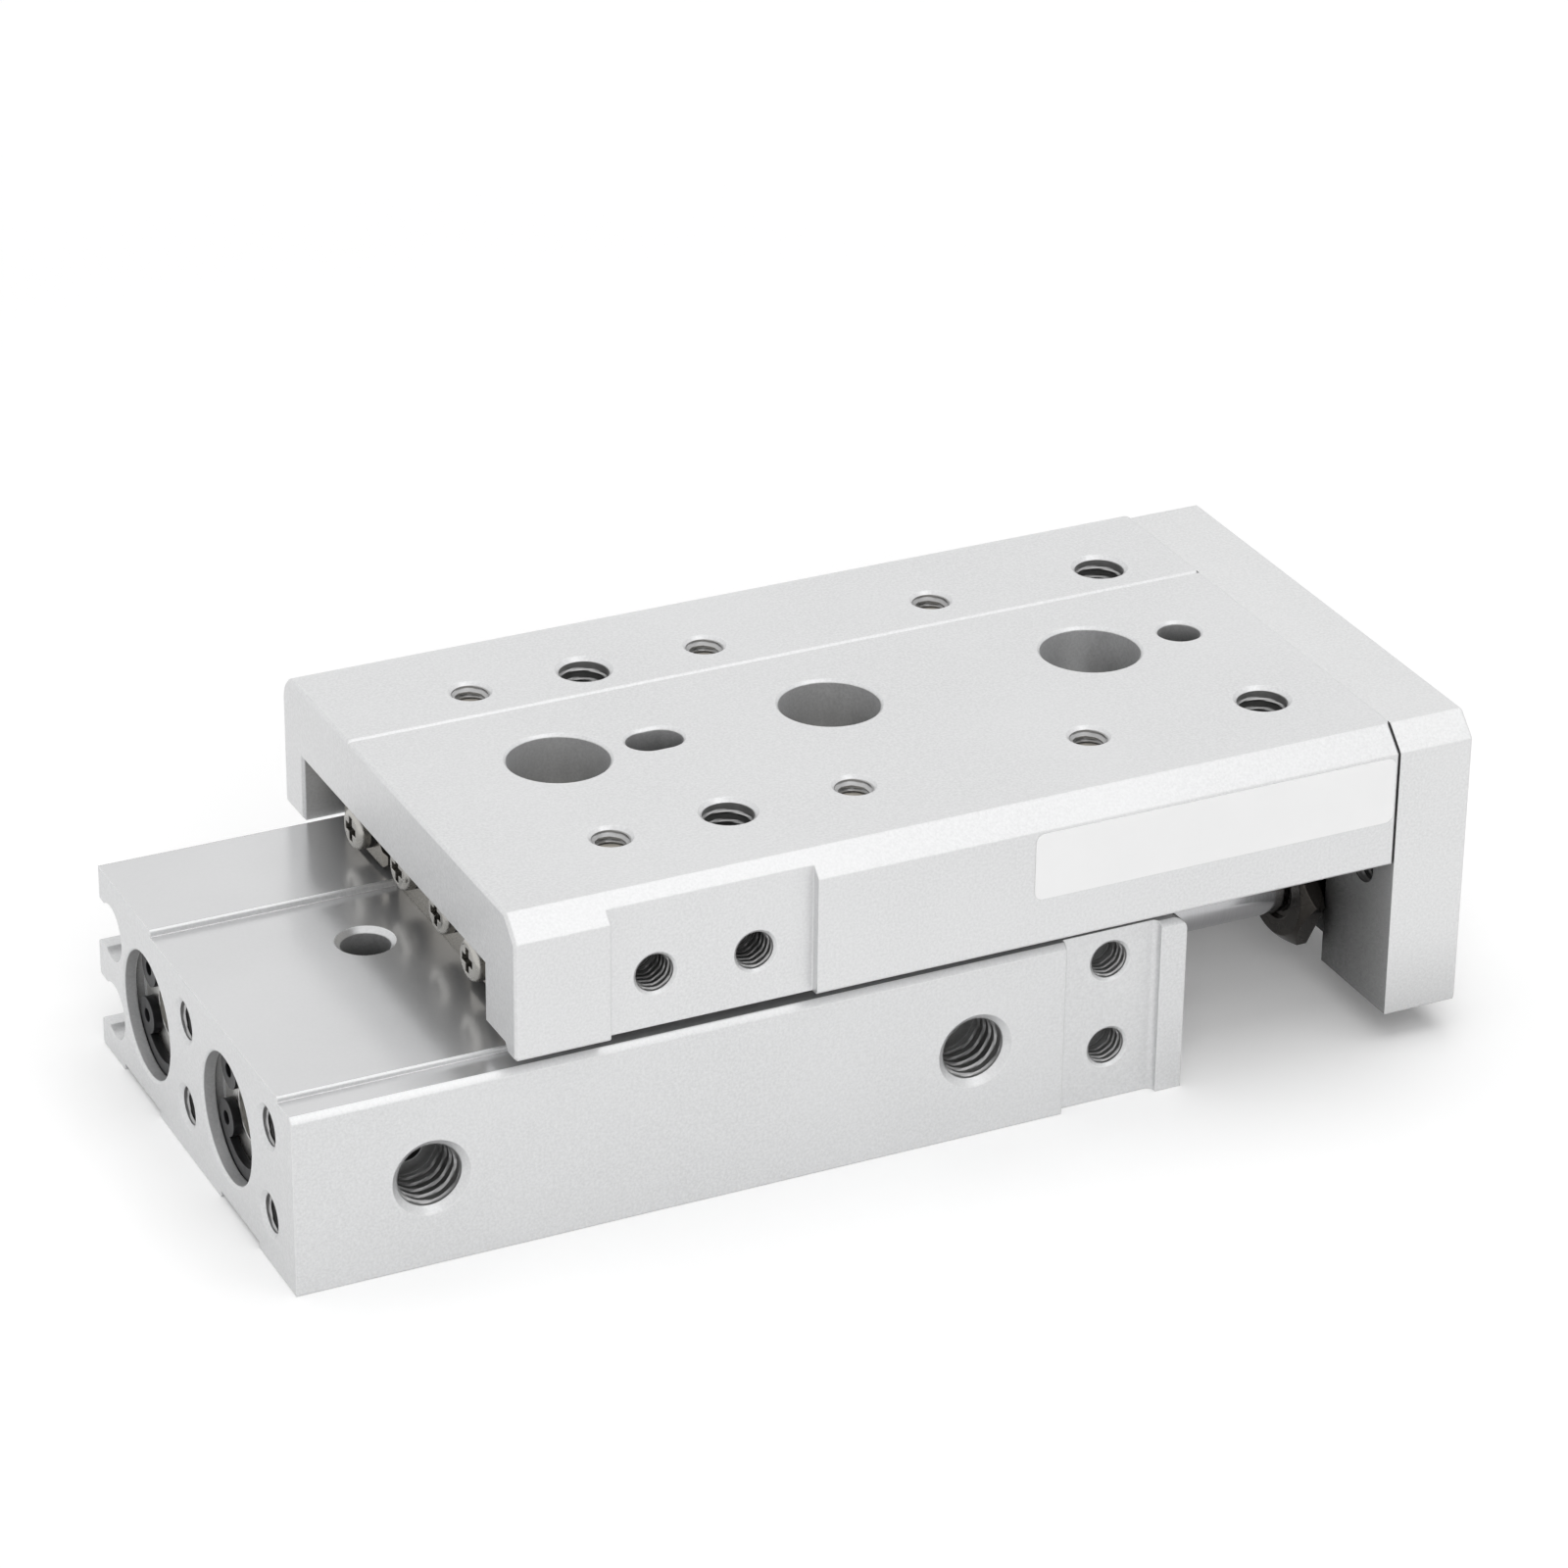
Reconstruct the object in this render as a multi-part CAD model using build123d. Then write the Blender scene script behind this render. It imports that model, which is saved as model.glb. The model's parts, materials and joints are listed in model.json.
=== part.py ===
from build123d import *
import math
import os

# Pneumatic slide table, 8 mm bore, 30 mm stroke, with a crossed-roller guide.
# Millimetres. +X is the way the table slides out, +Y the sensor side, +Z up.
# The origin is the middle mounting hole, on the body's underside.

# Travel
stroke = 30.0
extension = 14.0

# Cylinder body
body_length = 64.3
body_front = 19.2
body_back = 16.4
front_ledge_drop = 0.4
rear_ledge_rise = 0.5
front_ledge_width = 2.4
front_edge_break = 0.4
edge_break = 0.2
riser_break = 0.12
relief_middle = 9.2
relief_width = 7.0
relief_depth = 0.5

# Mounting holes of the body, on its centre line
mount_pitch = 20.0
mount_first = 12.8
mount_hole = 3.4
mount_chamfer = 0.35

# Bores
bore = 8.0
bore_pitch = 15.0
bore_offset = 0.3
cap_bore = 9.0
bore_mouth = 0.15
groove_depth = 0.25

# Air ports in the front face. Tapped holes have their thread's pitch diameter.
port_hole = 4.48
port_chamfer = 0.5
port_depth = 4.5
port_drop = 0.25
port_first = 9.45
port_pitch = 39.05
air_passage = 2.4

# Tapped holes in the left end and in the recess at the right
end_tap_hole = 2.68
end_tap_chamfer = 0.3
end_tap_depth = 5.0
end_tap_below = 3.05
end_tap_above = 3.4
recess_depth = 0.65
recess_length = 7.2
recess_lip = 1.95
recess_corner = 0.45
lip_corner = 0.9
recess_tap_inset = 5.45
recess_tap_hole = 2.68
recess_tap_chamfer = 0.22
recess_tap_depth = 2.6

# Heights of those two taps, as shares of the front ledge height
recess_tap_low = 0.3077
recess_tap_high = 0.8154

# Sensor grooves along the back
sensor_groove = 4.1
sensor_mouth = 3.35
sensor_low_share = 0.2698
sensor_rise_share = 0.4353
sensor_set_in = 2.1
sensor_lip_reach = 0.5
sensor_lip_round = 0.3

# Sliding table
table_length = 64.8
table_width = 40.0
table_height = 24.0
table_plate = 5.3
table_inset = 1.0
front_leg = 4.95
rear_leg = 3.3
leg_depth = 10.05
foot_width = 1.35
foot_slope = 0.4
foot_step = 0.55
table_front_chamfer = 1.6
table_rear_round = 2.0
groove_line_place = 8.0
groove_line_side = 0.3
access_hole = 7.0
hole_edge_break = 0.2
seam_break = 0.25
load_tap_hole = 3.5
load_tap_chamfer = 0.3
load_tap_depth = 4.4
load_tap_pitch_x = 40.0
load_tap_pitch_y = 23.2
load_tap_end = 6.0
pin_hole = 3.0
pin_slot = 4.0
pin_depth = 3.0
pad_left = 6.65
pad_gap = 14.65
pad_height = 0.75
side_tap_hole = 2.68
side_tap_chamfer = 0.22
side_tap_depth = 3.4
side_tap_first = 10.1
side_tap_pitch = 7.1
side_tap_drop = 6.25

# Bare label
label_length = 27.3
label_height = 4.8
label_corner = 0.6
label_thickness = 0.08
label_from_end = 0.4
label_drop = 1.8

# End plate
plate_thickness = 5.7
plate_clearance = 2.3
plate_rear_chamfer = 2.0
notch_width = 8.5
notch_rise = 4.7
notch_corner = 1.5
notch_depth = 2.2
plate_bolt_side = 5.5
plate_bolt_edge = 3.4
adjuster_hole = 2.68
adjuster_side = 3.9
adjuster_height = 12.2

# Crossed-roller guide
guide_space = 5.3
rail_width = 12.4
rail_length = 45.6
rail_start = 17.7
rail_top_gap = 0.5
shoulder_gap = 0.1
track_gap = 1.1
guide_leg_gap = 0.45
guide_inset = 2.1
guide_floor_gap = 0.4
guide_end_break = 0.3
roller = 2.0
roller_length = 1.85
roller_gap = 0.04
roller_count = 10
roller_pitch = 2.8
cage_length = 29.0
cage_thickness = 0.4
cage_window_gap = 0.12
cage_band = 0.32
cage_lead = 0.5
rail_clear_hole = 6.2
rail_screw_shank = 2.5
rail_screw_head = 4.5
rail_screw_head_height = 2.0
rail_screw_depth = 4.0
guide_screw_shank = 2.5
guide_screw_head = 4.2
guide_screw_head_height = 1.6
guide_screw_first = 10.4
guide_screw_pitch = 17.5
guide_screw_offset = 0.24
guide_screw_drop = 1.2
guide_tap_chamfer = 0.25
stopper_shank = 1.8
stopper_head = 3.0
stopper_head_height = 0.9
stopper_head_round = 0.45
stopper_washer = 0.35
stopper_rise = 0.2
stopper_depth = 3.0
stopper_rail_edge = 2.85
stopper_guide_edge = 2.8
screw_gap = 0.05
driver_width = 0.6
driver_depth = 0.5
cross_share = 0.6
head_gap = 0.1

# Rods, pistons and bore fittings
rod = 4.0
rod_gap = 0.05
piston_length = 9.0
piston_bumper = 0.8
piston_gap = 0.1
piston_seal_width = 1.4
piston_seal_gap = 0.04
magnet_width = 2.0
magnet_depth = 1.1
seal_depth = 1.0
bumper_diameter = 6.0
piston_wall = 1.2
piston_start = 8.0
stop_gap = 0.3
cap_gap = 0.05
ring_inset = 1.0
ring_thickness = 0.6
ring_gap = 0.05
ring_lip = 0.5
ring_width = 1.15
ring_opening = 80.0
ring_tilt = 10.0
ring_lug = 2.6
gland_ring_lug = 2.1
ring_lug_inset = 0.3
ring_lug_hole = 1.0
cap_recess = 4.0
cap_recess_depth = 2.4
o_ring = 1.2
o_ring_squash = 0.75
o_ring_inset = 1.8
gland_nose = 6.4
gland_nose_length = 1.5
rod_seal_width = 1.6
rod_seal_inset = 3.2
rod_seal_gap = 0.03
rod_seal_depth = 1.2
end_pocket = 9.8
end_pocket_depth = 1.4
bushing_flats = 8.0
bushing_reach = 1.65
bushing_seat_gap = 0.1
bushing_chamfer = 0.8
bushing_face = 7.5
bushing_relief = 0.5
bushing_relief_depth = 0.3
bushing_boss = 6.4
rod_screw = 2.4
rod_screw_head = 4.5
rod_screw_head_height = 1.7
rod_screw_depth = 5.0
plate_bolt = 2.5
plate_bolt_head = 4.5
plate_bolt_head_height = 2.5
plate_bolt_drop = 3.0
plate_bolt_depth = 4.5
bolt_hole_gap = 0.2
socket_share = 0.5

# Places worked out from the sizes
body_left = -(mount_first + mount_pitch)
body_right = body_left + body_length
ceiling = table_height - table_plate
rail_seat_height = ceiling - guide_space
bore_height = rail_seat_height / 2
port_height = bore_height - port_drop
front_ledge_height = rail_seat_height - front_ledge_drop
rear_ledge_height = rail_seat_height + rear_ledge_rise
end_tap_heights = [bore_height - end_tap_below, bore_height + end_tap_above]
recess_tap_heights = [front_ledge_height * recess_tap_low, front_ledge_height * recess_tap_high]
sensor_low = rear_ledge_height * sensor_low_share
sensor_rise = rear_ledge_height * sensor_rise_share
table_left = body_left + table_inset + extension
table_right = table_left + table_length
plate_right = table_right + plate_thickness
notch_top = bore_height + notch_rise
leg_bottom = table_height - leg_depth
track_height = (rail_seat_height + ceiling) / 2
track_side = (rail_width + track_gap) / 2
stopper_height = track_height + stopper_rise
track_reach = (roller / 2 + roller_gap) * math.sqrt(2)
guide_inner = rail_width / 2 + track_gap
guide_outer = table_width / 2 - front_leg - guide_leg_gap
guide_screw_side = (track_side + track_reach + guide_outer) / 2 + guide_screw_offset
stopper_rail_side = rail_width / 2 - stopper_rail_edge
stopper_guide_side = guide_inner + stopper_guide_edge
rail_left = body_left + rail_start
rail_right = rail_left + rail_length
guide_left = table_left + guide_inset
guide_right = table_right - guide_inset
load_tap_right = table_right - load_tap_end
load_tap_left = load_tap_right - load_tap_pitch_x
access_first = table_left + mount_first - table_inset
bore_sides = [bore_offset - bore_pitch / 2, bore_offset + bore_pitch / 2]
piston_left = body_left + piston_start + extension
piston_right = piston_left + piston_length + 2 * piston_bumper
cap_left = body_left + ring_inset + ring_thickness + ring_gap
cap_right = body_left + piston_start - stop_gap
gland_left = piston_right - extension + stroke + stop_gap
gland_shoulder = gland_left + gland_nose_length
gland_ring_right = body_right - end_pocket_depth - ring_lip - ring_gap
gland_right = gland_ring_right - ring_thickness - ring_gap
bushing_left = table_right - bushing_reach
plate_bolt_place = table_height - plate_bolt_drop
bushing_right = table_right + notch_depth - bushing_seat_gap
cage_left = guide_left + (stroke - extension) / 2 + cage_lead


standing = (Align.CENTER, Align.CENTER, Align.MIN)
hanging = (Align.CENTER, Align.CENTER, Align.MAX)


def side_face(points):
    """A closed outline in the plane across the slide, as points (Y, Z)."""
    return Plane.YZ * make_face(Polyline(*points, close=True))


def along(face, start, end):
    """The outline carried along X from start to end."""
    return extrude(Pos(start, 0, 0) * face, amount=end - start, dir=(1, 0, 0))


def bar_x(diameter, start, end, y, z):
    """A round bar along X."""
    return Pos((start + end) / 2, y, z) * Rot(0, 90, 0) * Cylinder(diameter / 2, end - start)


def bar_y(diameter, start, end, x, z):
    """A round bar along Y."""
    return Pos(x, (start + end) / 2, z) * Rot(90, 0, 0) * Cylinder(diameter / 2, abs(end - start))


def bar_z(diameter, start, end, x, y):
    """A round bar along Z."""
    return Pos(x, y, (start + end) / 2) * Cylinder(diameter / 2, end - start)


def block(x0, x1, y0, y1, z0, z1):
    """A straight block between two corners."""
    return Pos((x0 + x1) / 2, (y0 + y1) / 2, (z0 + z1) / 2) * Box(x1 - x0, y1 - y0, z1 - z0)


def turned(points, y=0.0, z=0.0):
    """A ring or stepped bar about a line along X, from points (X, radius)."""
    return Pos(0, y, z) * revolve(make_face(Polyline(*points, close=True)), Axis.X)


def mouth(diameter, chamfer, depth):
    """A drilled hole with a chamfered mouth: it goes down from the origin."""
    r = diameter / 2
    return Cone(r, r + chamfer, chamfer, align=hanging) + Cylinder(r, depth, align=hanging)


def hex_socket(size, depth):
    """A hexagonal driver socket: it goes down from the origin."""
    return extrude(RegularPolygon(size / 2, 6, major_radius=False), amount=-depth)


def cap_screw(shank, length, head, head_height):
    """A cap screw whose head stands on the origin and whose shank goes down."""
    screw = Cylinder(head / 2, head_height, align=standing) + Cylinder(shank / 2, length, align=hanging)
    return screw - Pos(0, 0, head_height) * hex_socket(head * socket_share, head_height * socket_share)


def v_groove(side, length):
    """A square bar on its corner along X: it cuts the roller track's V."""
    return Rot(45, 0, 0) * Box(length, side, side)


def cylinder_body():
    """The extruded body: stepped top, two bores, ports, recess, sensor grooves."""
    front = -body_front
    shoulder = rail_width / 2 + shoulder_gap
    riser = front + front_ledge_width
    relief_near = relief_middle - relief_width / 2
    relief_far = relief_middle + relief_width / 2
    outline = side_face([
        (front, 0), (-relief_far, 0), (-relief_far, relief_depth), (-relief_near, relief_depth),
        (-relief_near, 0), (relief_near, 0), (relief_near, relief_depth), (relief_far, relief_depth),
        (relief_far, 0), (body_back, 0), (body_back, rear_ledge_height),
        (shoulder + riser_break, rear_ledge_height),
        (shoulder, rear_ledge_height - riser_break), (shoulder, rail_seat_height),
        (riser + riser_break, rail_seat_height), (riser, rail_seat_height - riser_break),
        (riser, front_ledge_height), (front + front_edge_break, front_ledge_height),
        (front, front_ledge_height - front_edge_break)])
    solid = along(outline, body_left, body_right)

    # Sensor grooves: round channels with rounded lips that reach out a little.
    lip_back = body_back + sensor_lip_reach
    foot_top = sensor_low - sensor_mouth / 2
    lip_low = sensor_low + sensor_mouth / 2
    lip_high = sensor_low + sensor_rise - sensor_mouth / 2
    solid += block(body_left, body_right, body_back - sensor_lip_reach, lip_back, 0, foot_top)
    solid += block(body_left, body_right, body_back - sensor_lip_reach, lip_back, lip_low, lip_high)
    lip_edges = [e for e in solid.edges().filter_by(Axis.X) if e.center().Y > lip_back - sensor_lip_round]
    solid = fillet(lip_edges, sensor_lip_round)
    for height in (sensor_low, sensor_low + sensor_rise):
        y = body_back - sensor_set_in
        solid -= bar_x(sensor_groove, body_left, body_right, y, height)
        half = sensor_mouth / 2
        solid -= block(body_left, body_right, y, lip_back, height - half, height + half)

    # Bores right through, wider where the cap and the gland sit, with a ring groove in each seat.
    for y in bore_sides:
        solid -= bar_x(bore, body_left, body_right, y, bore_height)
        solid -= bar_x(cap_bore, body_left, cap_right, y, bore_height)
        solid -= bar_x(cap_bore, gland_shoulder, body_right, y, bore_height)
        cone_end = body_left + bore_mouth
        seat = cap_bore / 2
        cone = [(body_left, 0), (body_left, seat + bore_mouth), (cone_end, seat), (cone_end, 0)]
        solid -= turned(cone, y, bore_height)
        solid -= bar_x(end_pocket, body_right - end_pocket_depth, body_right, y, bore_height)
        for start in (body_left + ring_inset - ring_gap, gland_right):
            end = start + ring_thickness + 2 * ring_gap
            solid -= bar_x(cap_bore + 2 * groove_depth, start, end, y, bore_height)

    # Air ports: a tapped mouth, then a passage that crosses both bores.
    for x in (body_left + port_first, body_left + port_first + port_pitch):
        solid -= Pos(x, front, port_height) * Rot(90, 0, 0) * mouth(port_hole, port_chamfer, port_depth)
        solid -= bar_y(air_passage, front, bore_sides[1], x, port_height)

    # Mounting holes: tapped, and clear for a thinner bolt from above.
    for n in range(3):
        x = (n - 1) * mount_pitch
        solid -= Pos(x, 0, rail_seat_height) * mouth(mount_hole, mount_chamfer, rail_seat_height)
        solid -= Pos(x, 0, 0) * Rot(180, 0, 0) * mouth(mount_hole, mount_chamfer, rail_seat_height)

    # Rail screw holes in the seat.
    for x in rail_screw_places():
        hole = rail_screw_shank + 2 * screw_gap
        solid -= bar_z(hole, rail_seat_height - rail_screw_depth, rail_seat_height, x, 0)

    # Tapped holes beside the bores in the left end.
    middle = sum(bore_sides) / 2
    for y in (middle, middle - bore_pitch):
        for z in end_tap_heights:
            hole = mouth(end_tap_hole, end_tap_chamfer, end_tap_depth)
            solid -= Pos(body_left, y, z) * Rot(0, -90, 0) * hole

    # Recess at the right of the front face, with two tapped holes, and the lip beyond it.
    recess_right = body_right - recess_lip
    recess_left = recess_right - recess_length
    pocket = block(recess_left, recess_right, front, front + recess_depth, 0, front_ledge_height)
    corner = [e for e in pocket.edges().filter_by(Axis.Z) if e.center().Y > front]
    solid -= fillet([e for e in corner if e.center().X > recess_left], recess_corner)
    for z in recess_tap_heights:
        hole = mouth(recess_tap_hole, recess_tap_chamfer, recess_tap_depth)
        solid -= Pos(body_right - recess_tap_inset, front + recess_depth, z) * Rot(90, 0, 0) * hole
    top_corner = [e for e in solid.edges().filter_by(Axis.Y)
                  if abs(e.center().X - body_right) < 0.01 and e.center().Z > bore_height
                  and e.center().Y < front + front_ledge_width]
    return fillet(top_corner, lip_corner)


def rail_screw_places():
    """X of the rail's own screws, half way between the mounting holes."""
    return [-mount_pitch / 2, mount_pitch / 2]


def guide_screw_places():
    """X of the three screws of each guide."""
    return [table_left + guide_screw_first + n * guide_screw_pitch for n in range(3)]


def guide_rail():
    """The centre rail on the body: a V track along each side, clear holes for the body bolts."""
    top = ceiling - rail_top_gap
    half = rail_width / 2
    solid = block(rail_left, rail_right, -half, half, rail_seat_height, top)
    solid = chamfer(solid.edges().filter_by(Axis.X), edge_break)
    side = roller + 2 * roller_gap
    for y in (-track_side, track_side):
        solid -= Pos((rail_left + rail_right) / 2, y, track_height) * v_groove(side, rail_length)
    for x in (0, mount_pitch):
        solid -= bar_z(rail_clear_hole, rail_seat_height, top, x, 0)
    head = rail_screw_head + 2 * head_gap
    for x in rail_screw_places():
        solid -= bar_z(rail_screw_shank + 2 * screw_gap, rail_seat_height, top, x, 0)
        solid -= bar_z(head, top - rail_screw_head_height - screw_gap, top, x, 0)
    for y in (-stopper_rail_side, stopper_rail_side):
        hole = stopper_shank + 2 * screw_gap
        solid -= bar_x(hole, rail_left, rail_left + stopper_depth, y, stopper_height)
        solid -= bar_x(hole, rail_right - stopper_depth, rail_right, y, stopper_height)
    return solid


def rail_screws():
    """Two cap screws sunk in the rail."""
    seat = ceiling - rail_top_gap - rail_screw_head_height - screw_gap
    length = seat - rail_seat_height + rail_screw_depth - screw_gap
    screw = cap_screw(rail_screw_shank, length, rail_screw_head, rail_screw_head_height)
    return [Pos(x, 0, seat) * screw for x in rail_screw_places()]


def stopper_screw():
    """A round-headed screw with a cross slot: head on the origin towards -X, shank into +X."""
    head = Rot(0, 90, 0) * Cylinder(stopper_head / 2, stopper_head_height, align=hanging)
    rim = [e for e in head.edges().filter_by(GeomType.CIRCLE) if e.center().X < -stopper_head_height / 2]
    head = fillet(rim, stopper_head_round)
    slot_length = stopper_head * cross_share
    cut = Pos(-stopper_head_height, 0, 0) * Box(2 * driver_depth, driver_width, slot_length)
    cut += Pos(-stopper_head_height, 0, 0) * Box(2 * driver_depth, slot_length, driver_width)
    shank = Rot(0, 90, 0) * Cylinder(stopper_shank / 2, stopper_depth - screw_gap, align=standing)
    return (head - cut) + shank


def stopper_screws(left, right, side):
    """Four end screws, two at each end, that keep the roller cages in."""
    screw = stopper_screw()
    pieces = []
    for y in (-side, side):
        pieces.append(Pos(left - stopper_washer, y, stopper_height) * screw)
        pieces.append(Pos(right + stopper_washer, y, stopper_height) * Rot(0, 0, 180) * screw)
    return pieces


def stopper_washers(left, right, side):
    """The dark washers between the end screws' heads and the steel."""
    hole = stopper_shank + 2 * screw_gap
    pieces = []
    for y in (-side, side):
        for start in (left - stopper_washer, right):
            end = start + stopper_washer
            disc = bar_x(stopper_head, start, end, y, stopper_height)
            pieces.append(disc - bar_x(hole, start, end, y, stopper_height))
    return pieces


def guide(side):
    """One outer guide under the table, its V track facing the rail; side is -1 or 1."""
    bottom = rear_ledge_height + guide_floor_gap
    solid = block(guide_left, guide_right, guide_inner, guide_outer, bottom, ceiling)
    solid = chamfer(solid.edges().filter_by(Axis.X), edge_break)
    solid = chamfer(solid.faces().filter_by(Axis.X).edges().filter_by(Axis.Z), guide_end_break)
    middle = (guide_left + guide_right) / 2
    side_length = roller + 2 * roller_gap
    solid -= Pos(middle, track_side, track_height) * v_groove(side_length, guide_right - guide_left)
    for x in guide_screw_places():
        solid -= bar_z(guide_screw_shank + 2 * screw_gap, bottom, ceiling, x, guide_screw_side)
        seat = bottom + guide_screw_head_height + screw_gap
        solid -= bar_z(guide_screw_head + 2 * head_gap, bottom, seat, x, guide_screw_side)
    hole = stopper_shank + 2 * screw_gap
    solid -= bar_x(hole, guide_left, guide_left + stopper_depth, stopper_guide_side, stopper_height)
    solid -= bar_x(hole, guide_right - stopper_depth, guide_right, stopper_guide_side, stopper_height)
    return solid if side > 0 else mirror(solid, about=Plane.XZ)


def guide_screws():
    """Six cap screws from below through the guides into the table's tapped holes."""
    seat = rear_ledge_height + guide_floor_gap + guide_screw_head_height + screw_gap
    length = table_height - guide_screw_drop - seat
    upright = cap_screw(guide_screw_shank, length, guide_screw_head, guide_screw_head_height)
    screw = Rot(180, 0, 0) * upright
    places = [(x, y) for x in guide_screw_places() for y in (-guide_screw_side, guide_screw_side)]
    return [Pos(x, y, seat) * screw for x, y in places]


def roller_places():
    """X of the rollers in a cage."""
    middle = cage_left + cage_length / 2
    return [middle + (n - (roller_count - 1) / 2) * roller_pitch for n in range(roller_count)]


def roller_cage(side):
    """The strip that spaces the rollers in the gap between rail and guide."""
    half = cage_thickness / 2
    y = side * track_side
    window = roller / 2 + cage_window_gap
    reach = roller / math.sqrt(2) + cage_window_gap
    low = track_height - reach - cage_band
    high = track_height + reach + cage_band
    strip = block(cage_left, cage_left + cage_length, y - half, y + half, low, high)
    for x in roller_places():
        opening = block(x - window, x + window, y - half, y + half, -reach, reach)
        strip -= Pos(0, 0, track_height) * opening
    return strip


def rollers(side):
    """Rollers of one track, each turned a quarter from the last."""
    pieces = []
    for n, x in enumerate(roller_places()):
        lean = 45 if n % 2 else -45
        spot = Pos(x, side * track_side, track_height) * Rot(lean, 0, 0)
        pieces.append(spot * Cylinder(roller / 2, roller_length))
    return pieces


def table():
    """The sliding table: a channel with its holes, pads and edge breaks."""
    half = table_width / 2
    front_inner = -half + front_leg
    rear_inner = half - rear_leg
    foot_top = leg_bottom + foot_step
    outline = side_face([
        (-half, leg_bottom + edge_break), (-half + edge_break, leg_bottom),
        (-half + foot_width, leg_bottom), (-half + foot_width + foot_slope, foot_top),
        (front_inner, foot_top), (front_inner, ceiling),
        (rear_inner, ceiling), (rear_inner, leg_bottom), (half, leg_bottom), (half, table_height),
        (-half + table_front_chamfer, table_height), (-half, table_height - table_front_chamfer)])
    solid = along(outline, table_left, table_right)
    long_edges = solid.edges().filter_by(Axis.X)
    rear_edges = [e for e in long_edges if e.center().Y > half - 0.01]
    solid = fillet([e for e in rear_edges if e.center().Z > ceiling], table_rear_round)
    rear_low = [e for e in solid.edges().filter_by(Axis.X)
                if e.center().Y > half - 0.01 and e.center().Z < leg_bottom + 0.01]
    solid = fillet(rear_low, 2 * edge_break)
    solid = chamfer(solid.faces().sort_by(Axis.X)[0].edges(), edge_break)
    front_top = -half + table_front_chamfer
    end_edges = solid.faces().sort_by(Axis.X)[-1].edges()
    seam = [e for e in end_edges if e.center().Y < front_top and e.center().Z > foot_top]
    solid = chamfer(seam, seam_break)
    groove = Pos((table_left + table_right) / 2, groove_line_place, table_height) * Rot(45, 0, 0)
    solid -= groove * Box(table_length, groove_line_side, groove_line_side)

    # The gap between the two pads of the front leg.
    gap_left = table_left + pad_left
    solid -= block(gap_left, gap_left + pad_gap, -half, -half + pad_height, leg_bottom, table_height)
    for n in range(2):
        hole = mouth(side_tap_hole, side_tap_chamfer, side_tap_depth)
        x = table_left + side_tap_first + n * side_tap_pitch
        solid -= Pos(x, -half + pad_height, table_height - side_tap_drop) * Rot(90, 0, 0) * hole

    # Holes in the top: access, load, guide screw and locating holes.
    for n in range(3):
        hole = mouth(access_hole, hole_edge_break, table_plate)
        solid -= Pos(access_first + n * mount_pitch, 0, table_height) * hole
    for x in (load_tap_left, load_tap_right):
        for y in (-load_tap_pitch_y / 2, load_tap_pitch_y / 2):
            solid -= Pos(x, y, table_height) * mouth(load_tap_hole, load_tap_chamfer, load_tap_depth)
    for x in guide_screw_places():
        for y in (-guide_screw_side, guide_screw_side):
            hole = mouth(guide_screw_shank + 2 * screw_gap, guide_tap_chamfer, table_plate)
            solid -= Pos(x, y, table_height) * hole
    solid -= Pos(load_tap_right, 0, table_height) * mouth(pin_hole, hole_edge_break, pin_depth)
    slot = SlotOverall(pin_slot, pin_hole)
    solid -= Pos(load_tap_left, 0, table_height - pin_depth) * extrude(slot, amount=pin_depth)
    flare = extrude(slot, amount=hole_edge_break, taper=-45)
    solid -= Pos(load_tap_left, 0, table_height - hole_edge_break) * flare

    # Tapped holes for the end plate's bolts.
    for y in plate_bolt_sides():
        hole = plate_bolt + 2 * screw_gap
        solid -= bar_x(hole, table_right - plate_bolt_depth, table_right, y, plate_bolt_place)
    return solid


def label_film():
    """The bare film label on the front face of the table."""
    sheet = Plane.XZ * RectangleRounded(label_length, label_height, label_corner)
    film = extrude(sheet, amount=label_thickness)
    x = table_right - label_from_end - label_length / 2
    return Pos(x, -table_width / 2, table_height - label_drop - label_height / 2) * film


def plate_bolt_sides():
    """Y of the four bolts that hold the end plate."""
    far = table_width / 2 - plate_bolt_edge
    return [-far, -plate_bolt_side, plate_bolt_side, far]


def end_plate():
    """The plate across the table's end, notched from below for the rod ends."""
    half = table_width / 2
    outline = side_face([
        (-half, plate_clearance), (half, plate_clearance), (half, table_height - plate_rear_chamfer),
        (half - plate_rear_chamfer, table_height), (-half + table_front_chamfer, table_height),
        (-half, table_height - table_front_chamfer)])
    solid = along(outline, table_right, plate_right)
    outer_rim = solid.faces().sort_by(Axis.X)[-1].edges()
    solid = chamfer(outer_rim, edge_break)
    for y in bore_sides:
        pocket = Pos(y, notch_top / 2) * Rectangle(notch_width, notch_top)
        pocket = fillet(pocket.vertices().group_by(Axis.Y)[-1], notch_corner)
        solid -= along(Plane.YZ * pocket, table_right, table_right + notch_depth)
        solid -= bar_x(rod_screw + 2 * bolt_hole_gap, table_right, plate_right, y, bore_height)
        seat = plate_right - rod_screw_head_height - edge_break
        solid -= bar_x(rod_screw_head + 2 * bolt_hole_gap, seat, plate_right, y, bore_height)
    for y in plate_bolt_sides():
        solid -= bar_x(plate_bolt + 2 * bolt_hole_gap, table_right, plate_right, y, plate_bolt_place)
        seat = plate_right - plate_bolt_head_height - edge_break
        solid -= bar_x(plate_bolt_head + 2 * bolt_hole_gap, seat, plate_right, y, plate_bolt_place)
    return solid - bar_x(adjuster_hole, table_right, plate_right, -half + adjuster_side, adjuster_height)


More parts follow.
